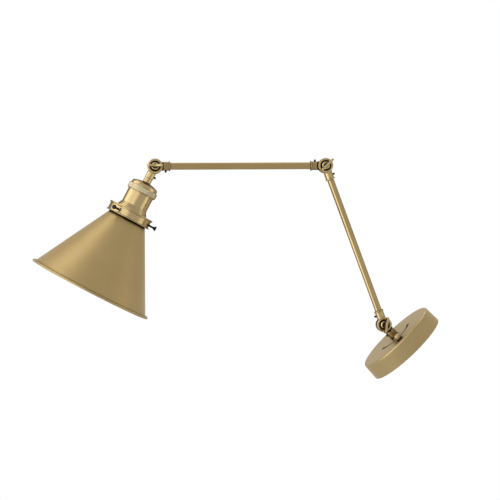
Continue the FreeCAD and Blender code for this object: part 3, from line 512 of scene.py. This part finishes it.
def finishPiece(name, mesh, finish, place, *replaced):
    # the mesh, in millimetres, goes to its place, takes its finish and stands for its solids
    bmesh.ops.transform(mesh, matrix=place @ Matrix.Scale(millimetre, 4), verts=mesh.verts)
    data = bpy.data.meshes.new(name)
    mesh.to_mesh(data)
    mesh.free()
    for face in data.polygons:
        face.use_smooth = True
    data.set_sharp_from_angle(angle=math.radians(sharpAngle))
    data.materials.append(finishes[finish])
    piece = bpy.data.objects.new(name, data)
    bpy.context.scene.collection.objects.link(piece)
    even = piece.modifiers.new("evenShading", "WEIGHTED_NORMAL")
    even.keep_sharp = True
    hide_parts(*replaced)
    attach(piece, body_of(nodes[replaced[0]])[0])
    return piece


def giveWall(piece, thickness):
    # a sheet gets its wall before its shading is evened
    wall = piece.modifiers.new("sheetWall", "SOLIDIFY")
    wall.thickness = thickness * millimetre
    wall.offset = 0
    piece.modifiers.move(1, 0)


shadeValues = {
    "sheet": [(29.4, 76.3), (28.1, 76.3, 0.5), (28.1, 86.4, 0.9), (89.2, 201.7, 1.0), (90.5, 202.6)],
    "bendSegments": 4, "beadCentre": (91.4, 201.4), "beadTurn": -285.0, "beadSteps": 14,
    "wall": 0.8, "steps": 192,
}


def makeShade(values):
    # the sheet's outline runs on into the rolled bead, and is then spun
    mesh = drawOutline(values["sheet"], closed=False, segments=values["bendSegments"])
    rim = max(mesh.verts, key=lambda spot: spot.co.z)
    centre = (values["beadCentre"][0], 0, values["beadCentre"][1])
    bmesh.ops.spin(mesh, geom=[rim], cent=centre, axis=(0, 1, 0), angle=math.radians(values["beadTurn"]),
                   steps=values["beadSteps"])
    bmesh.ops.remove_doubles(mesh, verts=mesh.verts, dist=mergeDistance)
    shade = finishPiece("spunShade", spinOnce(mesh, values["steps"]), "shadeBrass", headPlace, "shade")
    giveWall(shade, values["wall"])


makeShade(shadeValues)
print("shade spun")

holderValues = {
    "steps": 144, "collarSteps": 64,
    "collar": [(5.05, 19.6), (6.0, 19.6, 0.6), (6.0, 26.8, 0.4), (5.05, 26.8)],
    "cap": [(5.05, 26.8), (6.0, 26.8), (12.65, 28.0, 2.0), (19.3, 30.5, 0.7, 4), (20.2, 32.9, 0.8), (20.5, 36.0),
            (20.5, 43.8), (19.3, 43.8), (19.3, 36.4), (18.4, 31.9), (12.4, 29.3), (8.0, 28.0), (5.05, 28.0)],
    "band": [(20.5, 36.0), (22.3, 36.0, 0.7), (22.3, 43.8, 0.7), (20.5, 43.8)],
    "bandFlutes": {"count": 120, "depth": 0.18, "radius": 22.0, "low": 36.3, "high": 43.5},
    "shell": [(18.0, 36.3), (19.2, 36.3, 0.3), (19.2, 43.8), (20.4, 43.8, 0.3), (20.4, 45.5, 0.3), (19.6, 45.5, 0.2),
              (19.6, 65.6, 0.7, 4), (20.7, 66.5, 0.7, 4), (20.7, 67.9, 0.7, 4), (21.85, 68.8, 0.7, 4),
              (21.85, 70.2, 0.7, 4), (23.0, 71.1, 0.7, 4), (23.0, 73.0), (19.6, 73.0), (19.6, 80.5, 0.4),
              (18.0, 80.5)],
    "gallery": [(19.65, 73.0), (34.3, 73.0, 1.1, 5), (34.3, 75.4, 1.0, 5), (32.7, 75.4, 0.5), (32.7, 84.9, 0.4),
                (34.3, 84.9, 0.7, 4), (34.3, 86.4, 0.7, 4), (31.5, 86.4, 0.3), (31.5, 74.2, 0.8), (19.65, 74.2)],
}


def makeHolder(values):
    steps = values["steps"]
    for name, mesh, finish, node in (
        ("neckCollar", turnOutline(values["collar"], values["collarSteps"]), "headBrass", "neck_collar"),
        ("holderCap", turnOutline(values["cap"], steps), "headBrass", "holder_cap"),
        ("knurledBand", turnFluted(values["band"], values["bandFlutes"]), "knurledBrass", "knurled_band"),
        ("holderBarrel", turnOutline(values["shell"], steps), "headBrass", "holder_shell"),
        ("shadeGallery", turnOutline(values["gallery"], steps), "headBrass", "shade_gallery"),
    ):
        finishPiece(name, mesh, finish, headPlace, node)


makeHolder(holderValues)
print("holder turned")

thumbValues = {
    "turn": -86.0, "height": 80.6, "count": 3,
    "outline": [(0, 28.53), (1.5, 28.53, 0.2), (1.5, 39.2), (2.2, 39.2, 0.3), (2.2, 40.8), (3.3, 41.1, 0.3),
                (3.3, 43.6, 0.4), (0, 43.6)],
    "flutes": {"count": 24, "depth": 0.3, "radius": 3.1, "low": 41.0, "high": 43.5},
}


def makeThumbScrews(values):
    # the first one's place follows the photograph, and the others stand at equal thirds of the gallery
    lift = Matrix.Translation((0, 0, values["height"] * millimetre))
    for i in range(values["count"]):
        side = turned(values["turn"] + 360 * i / values["count"], "Z")
        finishPiece(f"thumbScrew{i + 1}", turnFluted(values["outline"], values["flutes"], closed=False),
                    "blackSteel", headPlace @ side @ lift @ turned(90, "Y"), f"gallery_screw_{i + 1}")


makeThumbScrews(thumbValues)
print("thumb screws made")

lampSeatValues = {
    "insulator": [(0, 46.6), (17.95, 46.6, 0.8), (17.95, 59.6, 0.6), (17.2, 59.6), (17.2, 79.0, 1.2, 4),
                  (14.05, 79.0, 0.8), (14.05, 57.2, 0.3), (12.4, 57.2, 0.5), (12.4, 51.6, 0.8), (0, 51.6)],
    "threadRadius": 13.15, "threadDepth": 0.7, "pitch": 3.63, "low": 57.3, "high": 77.6, "sheet": 0.3,
    "spots": 10, "steps": 96, "lead": 1.5, "spareTurns": 2, "seamDistance": 0.001,
}


def makeLampSeat(values):
    insulator = turnOutline(values["insulator"], values["steps"], closed=False)
    finishPiece("lampInsulator", insulator, "ceramic", headPlace, "lamp_insulator")
    # a wave that is longer than the shell climbs by one pitch in its spin, and is then cut to length
    pitch, spots = values["pitch"], values["spots"]
    turns = math.ceil((values["high"] - values["low"]) / pitch) + values["spareTurns"]
    wave = []
    for i in range(turns * spots + 1):
        swing = math.cos(math.tau * i / spots)
        height = values["low"] + (i / spots - values["lead"]) * pitch
        wave.append((values["threadRadius"] + values["threadDepth"] * swing, height))
    mesh = drawOutline(wave, closed=False)
    bmesh.ops.spin(mesh, geom=mesh.verts[:] + mesh.edges[:], cent=(0, 0, 0), axis=(0, 0, 1), angle=math.tau,
                   dvec=(0, 0, pitch / values["steps"]), steps=values["steps"])
    bmesh.ops.remove_doubles(mesh, verts=mesh.verts, dist=values["seamDistance"])
    for height, side in ((values["low"], -1), (values["high"], 1)):
        bmesh.ops.bisect_plane(mesh, geom=mesh.verts[:] + mesh.edges[:] + mesh.faces[:], dist=mergeDistance,
                               plane_co=(0, 0, height), plane_no=(0, 0, side), clear_outer=True)
    bmesh.ops.recalc_face_normals(mesh, faces=mesh.faces)
    shell = finishPiece("lampScrewShell", mesh, "nickelShell", headPlace, "lamp_screw_shell")
    giveWall(shell, values["sheet"])


makeLampSeat(lampSeatValues)
print("lamp seat made")

tubeValues = {"outline": [(4.0, 12.5), (5.0, 12.5, 0.3), (5.0, 237.5, 0.3), (4.0, 237.5)], "steps": 72}


def makeTubes(values):
    for name, finish, place, node in (
        ("lowerTube", "lowerBrass", lowerPlace, "lower_arm_tube"),
        ("upperTube", "upperBrass", upperPlace, "upper_arm_tube"),
    ):
        finishPiece(name, turnOutline(values["outline"], values["steps"]), finish, place, node)


makeTubes(tubeValues)
print("tubes made")

wingValues = {
    "screw": [(0, -6.5), (3.0, -6.5, 0.4), (3.0, 4.02), (5.9, 4.02, 0.3), (5.9, 9.2, 2.2, 6), (0, 9.2)],
    "wing": [(4.7, 7.6), (5.6, 13.0, 2.5, 5), (10.2, 19.6, 2.0, 5), (12.0, 22.6, 1.6, 4), (11.4, 28.1, 2.2, 5),
             (7.5, 28.1, 1.5, 4), (0.0, 26.0, 3.0, 5)],
    "thickness": 3.0, "edge": 0.8, "edgeSegments": 3, "steps": 64,
    "places": [("wingScrewBase", "wing_screw_base", basePivot, 126.0),
               ("wingScrewElbow", "wing_screw_elbow", elbowPivot, 90.0),
               ("wingScrewHead", "wing_screw_head", headPivot, 46.0)],
}


def makeWing(values):
    # the outline's right half, its mirror image, and a rounded edge all round
    half, thickness = values["wing"], values["thickness"]
    mesh = drawOutline(half + [(-spot[0], *spot[1:]) for spot in reversed(half[:-1])])
    bmesh.ops.contextual_create(mesh, geom=mesh.edges[:])
    grown = bmesh.ops.extrude_face_region(mesh, geom=mesh.faces[:])
    moved = [item for item in grown["geom"] if isinstance(item, bmesh.types.BMVert)]
    bmesh.ops.translate(mesh, vec=(0, thickness, 0), verts=moved)
    bmesh.ops.translate(mesh, vec=(0, -thickness / 2, 0), verts=mesh.verts)
    bmesh.ops.recalc_face_normals(mesh, faces=mesh.faces)
    rims = [edge for edge in mesh.edges if abs(edge.verts[0].co.y - edge.verts[1].co.y) < thickness / 2]
    bmesh.ops.bevel(mesh, geom=rims, offset=values["edge"], segments=values["edgeSegments"], profile=0.5,
                    affect="EDGES", material=-1, clamp_overlap=True)
    return mesh


def makeWingScrews(values):
    for name, node, pivot, degrees in values["places"]:
        mesh = turnOutline(values["screw"], values["steps"], closed=False)
        addCopy(mesh, makeWing(values), Matrix.Identity(4))
        finishPiece(name, mesh, "castBrass", placeAt(pivot, degrees) @ turned(90, "Y"), node)


makeWingScrews(wingValues)
print("wing screws made")

setScrewValues = {
    "radius": 1.5, "top": 0.945, "inner": 5.03, "outer": 9.15, "postOuter": 8.8, "place": 15.4,
    "foot": (0.2, 3), "shoulder": (0.5, 4),  # the round of each and its segments
    "socket": 0.75, "socketSides": 6, "socketDepth": 1.2, "steps": 24,
}


def makeSetScrew(values, outer):
    # a round body, and in its top a six-sided socket
    radius, inner = values["radius"], values["inner"]
    outline = [(0, inner), (radius, inner, *values["foot"]), (radius, outer, *values["shoulder"]),
               (values["top"], outer)]
    mesh = turnOutline(outline, values["steps"], closed=False)
    ring = bmesh.ops.create_circle(mesh, cap_ends=False, segments=values["socketSides"], radius=values["socket"],
                                   matrix=Matrix.Translation((0, 0, outer)))["verts"]
    socketEdges = list({edge for spot in ring for edge in spot.link_edges})
    topEdges = [edge for edge in mesh.edges if len(edge.link_faces) == 1]
    bmesh.ops.bridge_loops(mesh, edges=topEdges + socketEdges)
    grown = bmesh.ops.extrude_edge_only(mesh, edges=socketEdges)["geom"]
    lowSpots = [item for item in grown if isinstance(item, bmesh.types.BMVert)]
    bmesh.ops.translate(mesh, vec=(0, 0, -values["socketDepth"]), verts=lowSpots)
    bmesh.ops.contextual_create(mesh, geom=[item for item in grown if isinstance(item, bmesh.types.BMEdge)
                                            and all(spot in lowSpots for spot in item.verts)])
    bmesh.ops.recalc_face_normals(mesh, faces=mesh.faces)
    return mesh


def makeSetScrews(values):
    # each screw is at a pivot, along an arm's angle, on its upper side (1) or its lower side (-1)
    lower, upper, head = armValues["lowerAngle"], armValues["upperAngle"], armValues["headAngle"]
    along = Matrix.Translation((0, 0, values["place"] * millimetre))
    for name, node, outer, spots in (
        ("postSetScrew", "post_set_screw", values["postOuter"], [(basePivot, 0.0, 1)]),
        ("lowerSetScrews", "lower_arm_set_screws", values["outer"],
         [(basePivot, lower, -1), (elbowPivot, lower + 180, -1)]),
        ("upperSetScrews", "upper_arm_set_screws", values["outer"],
         [(elbowPivot, upper, 1), (headPivot, upper - 180, 1)]),
        ("headSetScrew", "head_set_screw", values["outer"], [(headPivot, head, -1)]),
    ):
        mesh = bmesh.new()
        for pivot, degrees, side in spots:
            place = placeAt(pivot, degrees) @ along @ turned(90 - 90 * side, "Z") @ turned(-90, "X")
            addCopy(mesh, makeSetScrew(values, outer), inMillimetres(place))
        finishPiece(name, mesh, "blackSteel", Matrix.Identity(4), node)


makeSetScrews(setScrewValues)
print("set screws made")

capNutValues = {
    "outline": [(0, 25.7), (4.0, 25.7, 0.2), (4.0, 26.5, 0.2), (5.0, 26.5, 0.3), (5.0, 31.9, 1.2, 4),
                (3.0, 34.4, 1.6, 5), (0, 35.1)],
    "spacing": 88.9, "lineTurn": -2.7, "steps": 48,
}


def makeCapNuts(values):
    mesh = bmesh.new()
    for side in (-1, 1):
        addCopy(mesh, turnOutline(values["outline"], values["steps"], closed=False),
                Matrix.Translation((side * values["spacing"] / 2, 0, 0)))
    finishPiece("canopyCapNuts", mesh, "wallBrass", wallPlace @ turned(values["lineTurn"], "Z"), "canopy_cap_nuts")


makeCapNuts(capNutValues)
print("cap nuts made")


studioValues = {
    "floorHeight": -2.2, "floorSize": 20.0, "floorColour": (0.82, 0.82, 0.81, 1), "floorRoughness": 0.9,
    "floorGlow": 0.62, "level": 0.45, "panelSize": 1.0, "panelDistance": 1.7,
    "panels": [  # a direction by the picture's right, up and towards the camera, and watts
        ("sidePanel", (-0.91, 0.42, -0.04), 7.0),
        ("lowPanel", (-0.80, -0.33, 0.52), 8.0),
        ("frontPanel", (-0.80, 0.10, 0.60), 4.6),
        ("topPanel", (-0.52, 0.85, 0.09), 4.0),
        ("middlePanel", (-0.70, 0.58, 0.41), 3.4),
        ("cameraPanel", (-0.45, 0.15, 0.88), 4.0),
        ("rimPanel", (0.10, 0.85, -0.50), 6.0),
        ("rightPanel", (0.92, -0.20, 0.20), 4.6),
    ],
}

white = (1, 1, 1, 1)


def seenPlainly(tree):
    # 1 where the background shows: to the camera, in metal and through glass
    rays = addNode(tree, "ShaderNodeLightPath").outputs
    straight = doMath(tree, "MAXIMUM", rays["Is Camera Ray"], rays["Is Transmission Ray"])
    return doMath(tree, "MAXIMUM", straight, rays["Is Glossy Ray"])


def makeWorld(values):
    world = bpy.data.worlds.new("studio")
    bpy.context.scene.world = world
    world.use_nodes = True
    tree = world.node_tree
    tree.nodes.clear()
    around = addNode(tree, "ShaderNodeBackground", {"Color": white, "Strength": values["level"]})
    seen = addNode(tree, "ShaderNodeBackground", {"Color": white, "Strength": 1.0})
    mixed = addNode(tree, "ShaderNodeMixShader", {0: seenPlainly(tree), 1: around.outputs[0], 2: seen.outputs[0]})
    addNode(tree, "ShaderNodeOutputWorld", {"Surface": mixed.outputs[0]})


def makeFloor(values):
    # the floor glows only where it is seen, so it looks white and keeps the lamp's shadow
    material = bpy.data.materials.new("paleFloor")
    material.use_nodes = True
    tree = material.node_tree
    surface = tree.nodes["Principled BSDF"].inputs
    surface["Base Color"].default_value = values["floorColour"]
    surface["Roughness"].default_value = values["floorRoughness"]
    surface["Emission Color"].default_value = white
    tree.links.new(doMath(tree, "MULTIPLY", seenPlainly(tree), values["floorGlow"]), surface["Emission Strength"])
    mesh = bmesh.new()
    bmesh.ops.create_grid(mesh, x_segments=1, y_segments=1, size=values["floorSize"] / 2,
                          matrix=Matrix.Translation((0, 0, values["floorHeight"])))
    data = bpy.data.meshes.new("floor")
    mesh.to_mesh(data)
    mesh.free()
    data.materials.append(material)
    floor = bpy.data.objects.new("floor", data)
    bpy.context.scene.collection.objects.link(floor)


def hangPanels(values):
    middle = Vector(cameraView["target"])
    for name, (right, up, near), power in values["panels"]:
        offset = (imageRight * right + imageUp * up + towardsCamera * near).normalized()
        data = bpy.data.lights.new(name, "AREA")
        data.shape = "SQUARE"
        data.size = values["panelSize"]
        data.energy = power
        light = bpy.data.objects.new(name, data)
        bpy.context.scene.collection.objects.link(light)
        light.location = middle + offset * values["panelDistance"]
        light.rotation_euler = offset.to_track_quat("Z", "Y").to_euler()


bpy.context.scene.view_settings.view_transform = "Standard"
makeWorld(studioValues)
makeFloor(studioValues)
hangPanels(studioValues)
print("studio made")
